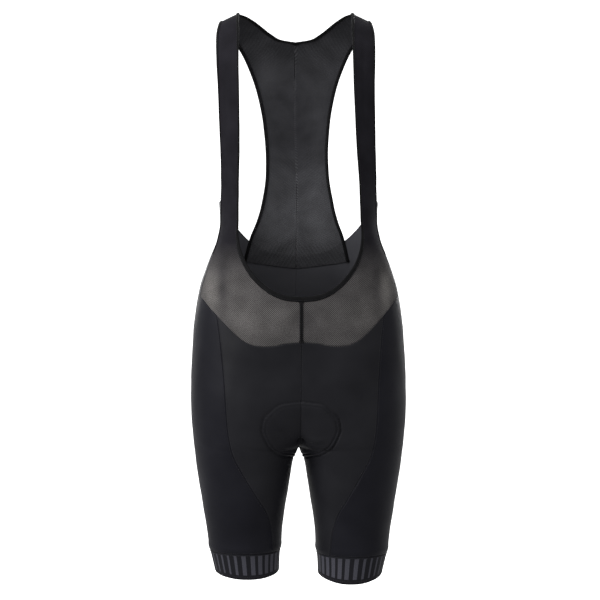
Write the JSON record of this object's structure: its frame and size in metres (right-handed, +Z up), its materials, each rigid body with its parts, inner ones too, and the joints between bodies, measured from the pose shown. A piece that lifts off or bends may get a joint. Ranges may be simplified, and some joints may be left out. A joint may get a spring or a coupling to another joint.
{
  "type": "cycling bib shorts",
  "caption": "Hollow worn form of cycling bib shorts: stretch-knit legs with elastic leg bands, mesh bib fronts running into shoulder straps, mesh racerback and a seat pad.",
  "frame": {"origin": "where the wearer's shoulders hold the garment up: midway between the tops of the two straps, level with their highest point", "axes": "+Z up the standing wearer, -Y towards the wearer's front, +X towards the wearer's left"},
  "size_m": [0.3434, 0.2198, 0.9042],
  "materials": {
    "stretch_knit": "smooth warp-knit nylon and elastane, near black, soft sheen",
    "bib_mesh": "fine open knitted mesh, dark grey",
    "binding": "folded elastic binding, black, with a line of stitching",
    "elastic_band": "woven elastic band, black with graded grey upright stripes",
    "pad_fleece": "brushed knit over foam, black"
  },
  "bodies": {
    "root": {"bib_front_right": "bib_mesh", "bib_front_left": "bib_mesh", "racerback": "bib_mesh", "scoop_binding": "binding", "strap_binding_right": "binding", "strap_binding_left": "binding", "centre_front_tape": "binding", "racerback_binding_right": "binding", "racerback_binding_left": "binding", "back_neck_binding": "binding", "shorts_front_right": "stretch_knit", "shorts_front_left": "stretch_knit", "shorts_back_right": "stretch_knit", "shorts_back_left": "stretch_knit", "leg_gripper_right": "elastic_band", "leg_gripper_left": "elastic_band", "seat_pad": "pad_fleece"}
  },
  "joints": []
}
